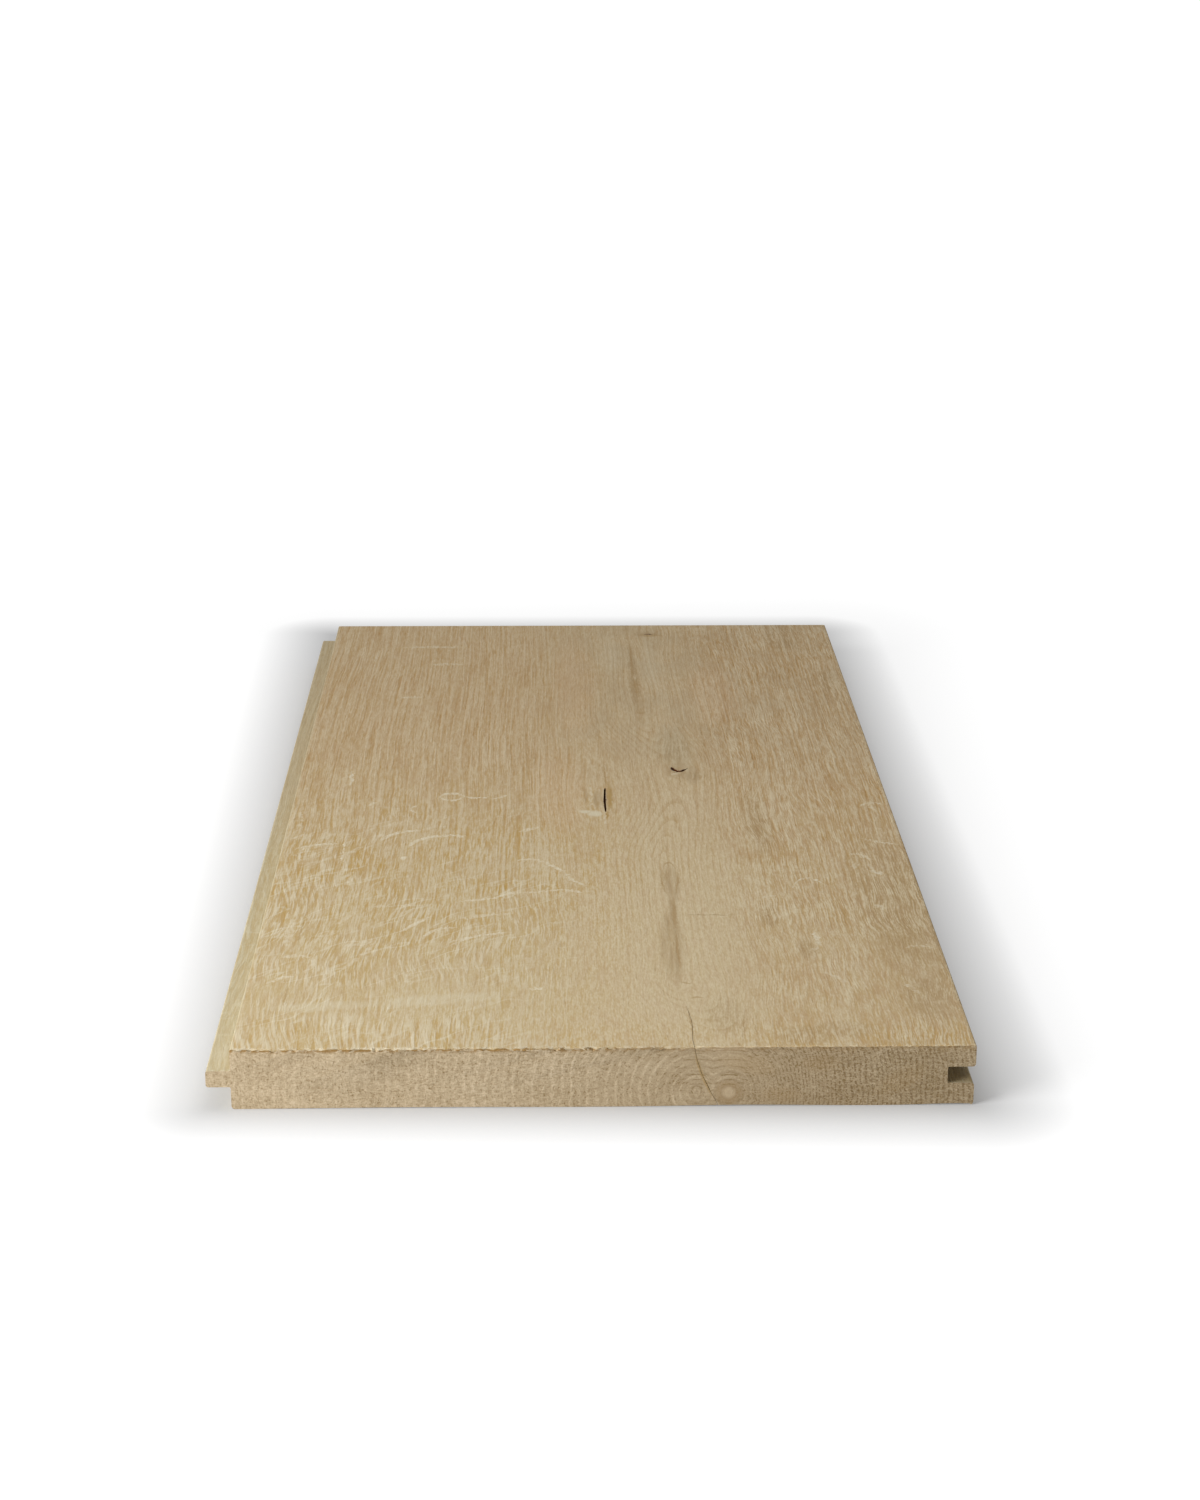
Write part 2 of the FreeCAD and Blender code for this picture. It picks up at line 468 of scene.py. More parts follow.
FAINT_RAY_MARKS = (
    stroke((-83, 380), (-79, 381), (-74, 380.5), 1.5),
    stroke((-71, 432), (-64, 433), (-57, 432.5), 1.7),
    stroke((-86, 461), (-72, 462), (-58, 461.5), 1.6),
    stroke((-98.5, 438), (-98, 447), (-97.5, 456), 0.7),
    stroke((-93.6, 180), (-91.5, 183), (-89.3, 186), 1.1),
    stroke((-48.5, 111.5), (-40, 114.8), (-30.5, 116.5), 1.1),
    stroke((-93, 107), (-90, 113), (-86.5, 119.5), 1.0),
    stroke((-81.5, 123), (-79, 124), (-77, 124.5), 1.2),
    stroke((-88, 65.5), (-86, 70.5), (-83.5, 76), 1.0),
    stroke((-83, 77), (-80.8, 82.5), (-79.3, 89), 1.0),
    stroke((-89.5, 83), (-87.5, 88), (-85.5, 93), 0.8),
    stroke((-101.5, 62.5), (-99, 69), (-99, 76), 0.9),
    stroke((-110.5, 76.5), (-105, 78), (-100, 76), 1.2),
    stroke((-95.5, 156), (-94.5, 159.5), (-93, 163), 0.9),
    stroke((-94.5, 151), (-93, 155), (-91, 159), 0.9),
    stroke((-92.5, 147), (-91.3, 151), (-89.5, 155), 0.9),
    stroke((-117.5, 194), (-115, 198), (-112, 201), 1.0),
    stroke((-116.5, 227), (-115.5, 221), (-114, 215.5), 0.8),
    stroke((-95, 101), (-95, 95), (-94.8, 88), 1.5),
    stroke((-109.3, 111), (-109.3, 98), (-109, 85), 1.5),
    stroke((97.5, 161), (98.5, 163), (100, 166), 1.2),
    stroke((60, 130), (63, 132), (66, 132.5), 1.0),
    stroke((107, 82), (112.7, 84.2), (117.6, 82), 1.0),
    stroke((77.8, 84), (76, 82), (74.3, 80.7), 0.9),
    stroke((77, 60.5), (80.5, 56.5), (83, 51.5), 1.0),
    stroke((101, 123), (103, 121), (105, 118), 1.2),
    stroke((103, 51.5), (105, 46.5), (107, 41.5), 1.0),
    stroke((111, 236), (112, 230), (114, 223), 0.8),
    stroke((103, 166), (104.5, 161), (105, 156), 0.7),
    stroke((-0.4, 256), (0.2, 245), (-0.2, 233), 0.7),
    stroke((33.5, 271), (35.5, 272), (37.5, 273.5), 1.4),
    stroke((5.2, 221), (5.2, 216), (5.1, 211), 0.5),
)
# Smooth wood near the sawn end with few flecks
CALM_MARKS = (
    Mark(-60, 47, 52, 8, 2, 0, 0.8),
    Mark(-14, 22, 34, 28, 0, 0, 0.9),
)
# Thin brown lines and spots along the pith and round the knots
STREAK_MARKS = (
    stroke((31, 161), (30.6, 147), (28.4, 131), 0.7, 0.9),
    stroke((28, 133), (27.8, 116), (27.7, 98), 1.0, 0.9),
    stroke((28, 100), (27.5, 80), (28.3, 54), 0.6, 0.9),
    stroke((24.9, 158), (28, 167.5), (30.8, 158), 1.6, 0.9),
    stroke((24.7, 158), (24.9, 145), (26.6, 130), 0.5, 0.9),
    stroke((26.5, 53), (28.8, 52), (31.5, 51), 0.8, 0.95),
    stroke((29.2, 38.6), (32, 40), (35, 39), 1.0, 0.95),
    stroke((28.0, 36), (28.9, 18), (28.9, 0.5), 0.5, 0.9),
    stroke((46.5, 27), (46.1, 17), (45.5, 8), 0.35, 0.8),
    stroke((49.2, 21), (49.9, 12), (50.3, 3), 0.3, 0.8),
    stroke((22.7, 478), (22.3, 440), (21.9, 404), 0.7, 0.9),
    stroke((22.6, 410), (23.4, 394), (23.9, 380), 1.2, 0.95),
    Mark(23.4, 398.5, 2.2, 2.0, 0, 0, 0.9),
    Mark(23.9, 388, 2.0, 2.6, 0, 0, 0.9),
    Mark(24.2, 356, 2.4, 2.2, 0, -0.5, 0.9),
    Mark(32.2, 482, 7, 3.4, 0, 0.3, 0.95),
    stroke((5.8, 288), (6.1, 272), (6.3, 253), 0.5, 0.9),
    stroke((4.4, 285), (4.3, 283.3), (4.3, 281.5), 0.5, 0.8),
    Mark(49.3, 326, 3.0, 0.6, 90, 0, 0.8),
    stroke((36.8, 271), (36.9, 263), (36.9, 254.5), 0.5, 0.9),
    stroke((-105.4, 113), (-105.4, 100), (-105.5, 86), 0.4, 0.8),
    stroke((-105.7, 51), (-105.8, 41), (-105.7, 31), 0.4, 0.8),
    stroke((43.5, 0.5), (43.6, 2), (43.5, 4), 0.4, 0.8),
)
# Even brown stain along the pith and round the knots
STAIN_MARKS = (
    Mark(27.8, 146, 25, 4.6, 90, 0, 0.9),
    stroke((28.2, 152), (27.4, 116), (26.2, 80), 2.6, 0.95),
    stroke((27.2, 128), (25.8, 84), (26, 40), 5.4, 0.97),
    stroke((29, 114.2), (40, 114), (53, 113.6), 0.9, 0.98),
    Mark(38, 276, 13, 9),
    Mark(42, 268, 12, 4),
    Mark(2.6, 241, 14, 2.4, 90, 0, 0.9),
    stroke((-3.4, 258), (-2.0, 246), (-2.4, 232), 1.4, 0.98),
)
# Browner wood that the fibres still show through
SHADE_MARKS = (
    Mark(37, 304, 24, 7),
    Mark(22.4, 415, 66, 2.8),
    Mark(41, 270, 9, 7, 0),
    Mark(32, 484, 9, 6, 0),
    Mark(66, 9, 14, 9, 0),
    Mark(41, 24, 20, 9),
    Mark(78, 13, 13, 9, 0),
    Mark(73, 82, 12, 5),
    Mark(62, 114, 16, 5),
    Mark(65, 212, 48, 7),
    Mark(110, 40, 30, 12),
    Mark(96, 478, 30, 12),
    Mark(114, 120, 95, 26),
    Mark(113, 400, 30, 8),
)
# Golden wood beside the open knot
RESIN_MARKS = (
    stroke((7.0, 264), (7.6, 244), (6.9, 221), 1.4, 0.8),
    stroke((6.3, 228), (6.2, 222), (6.1, 216), 0.7, 0.9),
)
# Grey-white bloom at the foot of the open knot
BLOOM_MARKS = (
    Mark(1.2, 223.2, 3.8, 4.2, -6, 0, 0.8),
    Mark(-2.6, 225.6, 3.6, 2.4, -8),
)
# Paler smooth bands near the sawn end
PALE_MARKS = (
    stroke((-80, 35.5), (-55, 39), (-22, 44), 6, 0.98),
    stroke((-116, 32), (-92, 34), (-68, 38), 5, 0.98),
)
# Pinker wood on both sides of the pith further off
ROSY_MARKS = (
    Mark(-5, 400, 95, 13),
    Mark(-13, 250, 70, 14),
    Mark(58, 385, 62, 14),
)
# Paler wood by the far streak
FAR_PALE_MARKS = (
    Mark(31, 432, 50, 6),
    Mark(12, 450, 40, 7),
)
# Grey wood above the curled knot
GREY_MARKS = (
    Mark(37, 306, 36, 12),
)
# Dark rims of the knots
KNOT_MARKS = (
    stroke((34.2, 280.6), (34.8, 277.6), (36.7, 274.8), 1.2, 0.45),
    stroke((35.7, 275.2), (37.9, 275.2), (41.0, 279.4), 0.9, 0.55),
    stroke((29.8, 482.4), (32, 483.8), (34.6, 482.4), 0.7, 0.98),
    stroke((5.8, 253.5), (5.5, 240), (5.5, 226), 0.7, 0.7),
)
# Marks on the sawn end, across from the middle of the board and up from the underside
END_MARKS = (
    Mark(46.0, 15.0, 12.0, 4.5, -12, 0.2),
    Mark(57.0, 4.0, 9.0, 3.5, 0),
    Mark(70.0, 15.0, 8.0, 4.0, 4),
    Mark(96.0, 9.0, 12.0, 5.0, 30),
)
PITH_RING = (
    Mark(40.3, 4.8, 5.6, 5.2, 0, 0.0, 0.75),
)
SPLIT_RIM = (
    stroke((28.9, 21.5), (31.6, 11.1), (36.8, 0.5), 0.7, 0.9),
)
PITH_SPOT = (
    Mark(40.3, 4.9, 3.0, 2.8, 0, 0.0, 0.6),
)


def turned_aside(tree, place):
    """The place with X moved, so that grain drawn on it flows round the knots and wanders along."""
    x = add(tree, "SeparateXYZ", place, out="X")
    y = add(tree, "SeparateXYZ", place, out="Y")
    across = x
    for knot in KNOTS:
        aside = add(tree, "Math", x, 1 / knot.across, -knot.x / knot.across, operation="MULTIPLY_ADD")
        ahead = add(tree, "Math", y, 1 / knot.along, -knot.y / knot.along, operation="MULTIPLY_ADD")
        squared = add(tree, "Math", ahead, ahead, operation="MULTIPLY")
        squared = add(tree, "Math", aside, aside, squared, operation="MULTIPLY_ADD")
        fade = add(tree, "Math", math.exp(-1), squared, operation="POWER")
        push = add(tree, "Math", fade, aside, operation="MULTIPLY")
        across = add(tree, "Math", push, -knot.push, across, operation="MULTIPLY_ADD")
    for size, reach in (((70, 190, 70), 7.0), ((9, 60, 9), 1.1), ((5, 10, 5), 0.6)):
        wander = add(tree, "Math", blotches(tree, place, size, 1.0, 3.0), 0.5, operation="SUBTRACT")
        across = add(tree, "Math", wander, reach, across, operation="MULTIPLY_ADD")
    return add(tree, "CombineXYZ", across, y, add(tree, "SeparateXYZ", place, out="Z"))


# Growth rings on the face, in millimetres
RING_WIDTH = 2.3

# The pith starts low at the near end, across and up; each step moves it over a stretch of the length.
PITH_START = (40, 5)
PithStep = namedtuple("PithStep", "start stop aside rise")
PITH_STEPS = (
    PithStep(0, 60, -13, 14),
    PithStep(165, 250, 8, -8),
    PithStep(285, 352, -12, 7.5),
)


def pith_distance(tree, grain):
    """Vector from the pith, which comes up under the face twice, to a place in the grain."""
    along = add(tree, "SeparateXYZ", grain, out="Y")
    pith_x, pith_z = PITH_START
    for step in PITH_STEPS:
        moved = zone(tree, (along, step.start, step.stop, 0, 1))
        pith_x = add(tree, "Math", moved, step.aside, pith_x, operation="MULTIPLY_ADD")
        pith_z = add(tree, "Math", moved, step.rise, pith_z, operation="MULTIPLY_ADD")
    uneven = blotches(tree, grain, (1e6, 30, 1e6), 1.0, 5.0)
    uneven = add(tree, "Math", uneven, 2.0, -1.0, operation="MULTIPLY_ADD")
    pith_z = add(tree, "Math", pith_z, uneven, operation="ADD")
    pith = add(tree, "CombineXYZ", pith_x, along, pith_z)
    return add(tree, "VectorMath", grain, pith, operation="SUBTRACT")


def mark_reach(tree, x, y, mark, blunt=False):
    """Reach from a mark's middle line: 0 on it and 1 at the mark's edge. A blunt mark keeps its width."""
    cos = math.cos(math.radians(mark.turn))
    sin = math.sin(math.radians(mark.turn))
    start = -(mark.x * cos + mark.y * sin) / mark.half_length
    along = add(tree, "Math", y, sin / mark.half_length, start, operation="MULTIPLY_ADD")
    along = add(tree, "Math", x, cos / mark.half_length, along, operation="MULTIPLY_ADD")
    start = (mark.x * sin - mark.y * cos) / mark.half_width
    across = add(tree, "Math", y, cos / mark.half_width, start, operation="MULTIPLY_ADD")
    across = add(tree, "Math", x, -sin / mark.half_width, across, operation="MULTIPLY_ADD")
    bend = add(tree, "Math", along, along, operation="MULTIPLY")
    bent = add(tree, "Math", bend, mark.bow, across, operation="MULTIPLY_ADD")
    tip = add(tree, "Math", bend, bend, operation="MULTIPLY") if blunt else bend
    return add(tree, "Math", bent, bent, tip, operation="MULTIPLY_ADD")


def marked(tree, x, y, marks):
    """Mask of all the marks in a list, 1 on a mark and 0 off it."""
    mask = None
    for mark in marks:
        inner = (1 - mark.soft) ** 2
        reach = mark_reach(tree, x, y, mark)
        spot = zone(tree, (reach, inner, 1, 1, 0))
        mask = spot if mask is None else add(tree, "Math", mask, spot, operation="MAXIMUM")
    return mask


def nearest_mark(tree, x, y, marks):
    """Reach of the nearest mark in a list, all of them blunt."""
    nearest = None
    for mark in marks:
        reach = mark_reach(tree, x, y, mark, blunt=True)
        nearest = reach if nearest is None else add(tree, "Math", nearest, reach, operation="MINIMUM")
    return nearest


def wood_place(tree):
    """Object coordinates in millimetres, with Y counted from the near end."""
    place = add(tree, "TexCoord", out="Object")
    near_end = (0, -LOW.y / MM, 0)
    return add(tree, "Mapping", place, near_end, (0, 0, 0), [1 / MM] * 3)


def new_material(name):
    material = bpy.data.materials.new(name)
    material.use_nodes = True
    material.node_tree.nodes.clear()
    return material


def coated(tree, colour, *coats, clamp=True):
    """Lays coats over a colour: each is an amount, past 0 and 1 where it isn't clamped, and a colour."""
    for amount, coat in coats:
        pair = [c if isinstance(c, bpy.types.NodeSocket) else (*c, 1) for c in (colour, coat)]
        named = {0: amount, 6: pair[0], 7: pair[1]}
        colour = add(tree, "Mix", out=2, data_type="RGBA", clamp_factor=clamp, named=named)
    return colour


def layered(tree, start, layers):
    """Adds layers to a tone: each is a pattern, its middle value and how strongly it counts."""
    tone = start
    for pattern, middle, strength in layers:
        swing = add(tree, "Math", pattern, middle, operation="SUBTRACT")
        tone = add(tree, "Math", swing, strength, tone, operation="MULTIPLY_ADD")
    return tone


def planed_oak(colours):
    """Planed, unfinished oak: matt, with cream ray flecks, dark pores and brown streaks by the knots."""
    material = new_material("planed_oak")
    tree = material.node_tree
    place = wood_place(tree)
    grain = turned_aside(tree, place)
    radial = pith_distance(tree, grain)
    radius = add(tree, "VectorMath", radial, operation="LENGTH", out="Value")
    along = add(tree, "SeparateXYZ", place, out="Y")
    across = add(tree, "SeparateXYZ", place)

    # Zones across the board, and the fading of the flecks along it
    tongue_side = zone(tree, (across, -33, 7, 1, 0))
    groove_side = zone(tree, (across, 40, 66, 0, 1))
    fading = zone(tree, (along, 140, 300, 1, 0.2))
    near_tongue = zone(tree, tongue_side, fading)
    further = add(tree, "MapRange", along, 60, 280, 0, 1)
    calm = add(tree, "Math", marked(tree, across, along, CALM_MARKS), -0.75, 1, operation="MULTIPLY_ADD")

    # Ray flecks: cream strokes, 1.1 mm by 16 mm, that lean this way and that and come in patches
    lean = blotches(tree, place, (55, 60, 55), 1, 8)
    lean = add(tree, "Math", lean, 17, -8.5, operation="MULTIPLY_ADD")
    wavy = blotches(tree, place, (8, 11, 8), 1, 45)
    wavy = zone(tree, add(tree, "Math", wavy, 0.5, operation="SUBTRACT"), groove_side)
    lean = add(tree, "Math", wavy, 1.6, lean, operation="MULTIPLY_ADD")
    leaning = add(tree, "VectorMath", grain, add(tree, "CombineXYZ", lean), operation="ADD")
    fleck = blotches(tree, leaning, (1.1, 16, 1.1), 1.2, 3, edge=(0.5, 0.6))
    patchy = blotches(tree, place, (22, 26, 22), 2, 12, edge=(0.36, 0.62))
    patchy = add(tree, "Math", patchy, 0.7, 0.3, operation="MULTIPLY_ADD")
    flecked = add(tree, "Math", groove_side, 0.2, near_tongue, operation="MULTIPLY_ADD")
    flecked = zone(tree, flecked, patchy, calm)

    # Broad flecks, 2.2 mm by 24 mm, among the fine ones by the tongue
    broad = blotches(tree, leaning, (2.2, 24, 2.2), 1, 17, edge=(0.5, 0.62))
    broad_strength = zone(tree, (across, -95, -65, 0.14, 0), fading)

    # Fibres that stand up in crisp strokes on the last 25 mm before the sawn end
    raised = blotches(tree, leaning, (1.4, 30, 1.4), 1, 27, edge=(0.5, 0.6))
    raised_strength = zone(tree, (along, 16, 30, 0.32, 0), (across, -70, -20, 1, 0))

    # Ribbons of ray tissue that cross the grain at a slant
    ribbon = blotches(tree, place, (40, 12, 40), 2, 15, turn=-40)
    ribbon = add(tree, "Math", add(tree, "Math", ribbon, 0.5, operation="SUBTRACT"), operation="ABSOLUTE")
    ribbon = zone(tree, (ribbon, 0, 0.025, 1, 0))

    # Long fibres, 0.75 mm wide, coarser ones further off and thin dark lines; strands and mottle
    # on the groove side; fine grit and slow clouds
    fibre = blotches(tree, grain, (0.75, 55, 0.75), 1, 2, edge=(0.38, 0.62))
    coarse = blotches(tree, grain, (1.2, 80, 1.2), 1, 21, edge=(0.4, 0.6))
    line = blotches(tree, grain, (1.6, 70, 1.6), 2, 14)
    line = add(tree, "Math", add(tree, "Math", line, 0.5, operation="SUBTRACT"), operation="ABSOLUTE")
    line = add(tree, "MapRange", line, 0, 0.06, 1, 0)
    line = zone(tree, line, blotches(tree, grain, (1.6, 16, 1.6), 1, 16, edge=(0.36, 0.56)))
    strand = blotches(tree, leaning, (0.6, 15, 0.6), 1.2, 4, edge=(0.38, 0.6))
    mottle = blotches(tree, grain, (3.5, 10, 3.5), 2, 53)
    dash = blotches(tree, grain, (0.65, 7, 0.65), 1, 6, edge=(0.4, 0.6))
    grit = blotches(tree, place, (0.6, 2, 0.6), 1, 19)
    far_grit = blotches(tree, place, (0.9, 5.5, 0.9), 1, 23)
    cloud = blotches(tree, grain, (14, 70, 14), 2, 1)

    # Growth rings, which show as thin lines over the pith and close in arches where it dips
    rings = add(tree, "Math", radius, 1 / RING_WIDTH, operation="MULTIPLY")
    early = zone(tree, (add(tree, "Math", rings, operation="FRACT"), 0, 0.5, 1, 0))
    ring_strength = add(tree, "MapRange", radius, 10, 32, -0.34, -0.06)
    ring_strength = zone(tree, ring_strength, (along, 90, 180, 0.45, 1))

    # The near end is paler on the tongue side, and so is the near half away from the groove: partly the
    # wood's own tone, partly painted light from the lamp at the near left
    near_end = zone(tree, (along, 5, 40, 0.08, 0), tongue_side)
    pale_tongue_side_and_painted_light = zone(tree, add(tree, "MapRange", groove_side, 0, 1, 0.12, 0), fading)

    # How strongly each pattern counts from place to place
    off_heart = add(tree, "Math", tongue_side, groove_side, operation="MAXIMUM")
    off_heart = add(tree, "Math", off_heart, 0.5, 0.5, operation="MULTIPLY_ADD")
    fibre_strength = add(tree, "MapRange", further, 0, 1, 0.08, 0.28)
    coarse_strength = add(tree, "MapRange", further, 0.2, 1, 0.05, 0.36)
    line_strength = add(tree, "MapRange", further, 0, 1, -0.2, -0.62)
    layers = (
        (fleck, 0.24, zone(tree, flecked, 0.44)),
        (broad, 0.3, broad_strength),
        (raised, 0.33, raised_strength),
        (ribbon, 0.1, zone(tree, flecked, 0.35)),
        (fibre, 0.5, zone(tree, fibre_strength, off_heart)),
        (coarse, 0.5, zone(tree, coarse_strength, off_heart)),
        (line, 0.2, zone(tree, line_strength, off_heart)),
        (strand, 0.5, zone(tree, groove_side, 0.46, patchy)),
        (mottle, 0.5, zone(tree, groove_side, 0.7)),
        (dash, 0.5, 0.2),
        (grit, 0.5, add(tree, "Math", near_tongue, -0.2, 0.7, operation="MULTIPLY_ADD")),
        (far_grit, 0.5, add(tree, "MapRange", further, 0.3, 1, 0.1, 0.9)),
        (cloud, 0.5, add(tree, "Math", groove_side, 0.3, 0.22, operation="MULTIPLY_ADD")),
        (early, 0.25, ring_strength),
        # Paler near end and tongue side: partly painted light
        (near_end, 0, 1),
        (pale_tongue_side_and_painted_light, 0, 1),
    )
    tone = layered(tree, 0, layers)

    # The contrast grows further off and on the groove side
    far_right = zone(tree, (across, 20, 60, 0, 0.35), (along, 240, 360, 0, 1))
    far_right = add(tree, "Math", far_right, 1, operation="ADD")
    lively = zone(tree, (along, 60, 130, 0.06, 0.18))
    settled = zone(tree, (along, 230, 300, 0.18, 0.1))
    lively = add(tree, "Math", lively, settled, operation="MINIMUM")
    lively = add(tree, "Math", lively, groove_side, 1, operation="MULTIPLY_ADD")
    gain = zone(tree, (along, 200, 340, 1, 1.12), far_right, lively)
    tone = add(tree, "Math", tone, gain, 0.5, operation="MULTIPLY_ADD")
    plain = add(tree, "Math", 1, near_tongue, operation="SUBTRACT")
    deep = coated(tree, colours.deep, (plain, colours.plain_deep))
    pale = coated(tree, colours.pale, (plain, colours.plain_pale))
    colour = coated(tree, deep, (tone, pale), clamp=False)

    # Golden wood between the flecks on the tongue side, rosy patches, grey wood over the pith further off
    tint = blotches(tree, grain, (12, 34, 12), 2, 31, edge=(0.36, 0.64))
    tinted = add(tree, "MapRange", tint, 0, 1, 0.2, 0.4)
    golden = zone(tree, (across, -5, 25, 1, 0.1), fading, (along, 30, 150, 0.45, 1.2), tinted)
    golden = add(tree, "Math", golden, zone(tree, (along, 6, 30, 0.22, 0)), operation="ADD")
    golden = add(tree, "Math", groove_side, 0.13, golden, operation="MULTIPLY_ADD")
    golden = zone(tree, golden, add(tree, "MapRange", tone, 0.25, 0.75, 1.7, 0.1))
    rosy = add(tree, "MapRange", tint, 0, 0.6, 0.1, 0)
    rosy = add(tree, "Math", groove_side, 0.08, rosy, operation="MULTIPLY_ADD")
    flush = blotches(tree, grain, (1.6, 10, 1.6), 1, 47, edge=(0.42, 0.6))
    rosy = add(tree, "Math", flush, 0.14, rosy, operation="MULTIPLY_ADD")
    rosy = zone(tree, rosy, add(tree, "MapRange", tone, 0.2, 0.9, 1, 0.4))
    far_half = add(tree, "MapRange", along, 250, 340, 0, 1)
    untinted = add(tree, "MapRange", tint, 0, 1, 1, 0.4)
    grey = zone(tree, (across, -35, 10, 0, 0.28), far_half, untinted)

    # The wood turns a little browner towards the far end, least in a band along the pith: partly its own
    # tone, partly painted shade for the falloff of the lamp at the near left
    aside = add(tree, "Math", add(tree, "Math", across, 18, operation="SUBTRACT"), operation="ABSOLUTE")
    far = zone(tree, (along, 100, 360, 0, 0.4), add(tree, "MapRange", aside, 15, 45, 0.75, 1))

    # Painted shade: the machined sides and the tongue's edge are greyed, to calm them where the lamp at the
    # left lights them
    height_up = add(tree, "SeparateXYZ", place, out="Z")
    painted_side_shade = add(tree, "MapRange", height_up, 15, 20.9, 0.45, 0)
    tongue = add(tree, "MapRange", across, -119.7, -119.1, 0.5, 0)
    painted_side_shade = add(tree, "Math", painted_side_shade, tongue, operation="MAXIMUM")

    # Pores: dark dashes along the grain, thickest in the early wood
    pores = blotches(tree, grain, (0.45, 7, 0.45), 1, 9, edge=(0.6, 0.74))
    pores = zone(tree, pores, add(tree, "Math", early, 0.2, 0.12, operation="MULTIPLY_ADD"))
    coats = (
        (golden, colours.golden),
        (rosy, colours.rosy),
        (grey, colours.grey),
        # Browner far end: partly painted shade
        (far, colours.warm),
        # Painted shade on the machined sides and the tongue's edge
        (painted_side_shade, colours.grey),
        (pores, colours.pore),
    )
    colour = coated(tree, colour, *coats)

    # Marks on the face alone, with ragged edges
    noise = {"Vector": place, "Scale": 0.35, "Detail": 2, "Roughness": 0.6}
    ragged = add(tree, "TexNoise", out="Color", named=noise)
    ragged = add(tree, "VectorMath", ragged, (0.5, 0.5, 0.5), operation="SUBTRACT")
    ragged = add(tree, "VectorMath", ragged, (1.6, 3, 0), place, operation="MULTIPLY_ADD")
    on_face = add(tree, "MapRange", height_up, 14, 19, 0, 1)
    x = add(tree, "SeparateXYZ", ragged, out="X")
    y = add(tree, "SeparateXYZ", ragged, out="Y")
    shady = add(tree, "MapRange", tone, 0.1, 0.8, 1.5, 0.3)
    streaky = blotches(tree, grain, (1.5, 30, 1.5), 2, 37)
    streaky = add(tree, "MapRange", streaky, 0.35, 0.65, 0.45, 1.3)
    lists = (
        (ROSY_MARKS, 0.12, 1, colours.flush),
        (FAR_PALE_MARKS, 0.16, 1, colours.bloom),
        (SHADE_MARKS, 0.4, shady, colours.stain),
        (STAIN_MARKS, 0.5, streaky, colours.stain),
        (STREAK_MARKS, 0.55, 1, colours.streak),
        (RESIN_MARKS, 0.8, 1, colours.resin),
        (BLOOM_MARKS, 0.85, 1, colours.bloom),
        (PALE_MARKS, 0.35, 1, colours.bloom),
        (GREY_MARKS, 0.16, 1, colours.grey),
        (KNOT_MARKS, 0.95, 1, colours.knot),
    )
    for marks, strength, fibrous, stain in lists:
        amount = zone(tree, marked(tree, x, y, marks), strength, on_face, fibrous)
        colour = coated(tree, colour, (amount, stain))

    # Single ray strokes: a thin cream core that comes and goes, with a painted golden shadow on both sides
    broken = blotches(tree, place, (1.2, 3, 1.2), 1, 41)
    broken = add(tree, "MapRange", broken, 0.32, 0.68, 0.3, 1.2)
    rough = blotches(tree, place, (1, 1.6, 1), 1, 43)
    rough = add(tree, "Math", rough, 0.5, operation="SUBTRACT")
    x = add(tree, "Math", rough, 1.6, x, operation="MULTIPLY_ADD")
    y = add(tree, "Math", rough, 4, y, operation="MULTIPLY_ADD")
    for marks, strength in ((FAINT_RAY_MARKS, 0.45), (RAY_MARKS, 0.68)):
        reach = nearest_mark(tree, x, y, marks)
        core = zone(tree, (reach, 0.1, 2, strength, 0), broken, on_face)
        # Painted shadow: a golden rim along both sides of each stroke
        shade = zone(tree, add(tree, "MapRange", reach, 1.5, 3, 0.3 * strength, 0), on_face)
        colour = coated(tree, colour, (shade, colours.golden), (core, colours.ray))

    # Pale tufts on the last millimetre and a half, where the saw came through, with a painted highlight
    # along that lip
    tufts_and_highlight = blotches(tree, place, (2, 60, 60), 1, 49, edge=(0.44, 0.56))
    lip = add(tree, "MapRange", along, 0.3, 1.6, 0.5, 0)
    tufted = add(tree, "MapRange", across, -10, 30, 1, 0.3)
    # Painted highlight along the near lip, over the pale torn fibre
    colour = coated(tree, colour, (zone(tree, tufts_and_highlight, lip, tufted), colours.ray))

    height = add(tree, "Math", pores, -0.8, tone, operation="MULTIPLY_ADD")
    bump = add(tree, "Bump", named={"Strength": 0.3, "Distance": 0.2 * MM, "Height": height})
    finish = {"Base Color": colour, "Roughness": 0.8, "Specular IOR Level": 0.2, "Normal": bump}
    add(tree, "OutputMaterial", add(tree, "BsdfPrincipled", named=finish))
    return material


# The two piths on the sawn end, across and up, and the width of the first growth rings, in millimetres
PITHS = ((30.0, 5.0), (40.4, 4.9))
END_RING_WIDTH = 2.4


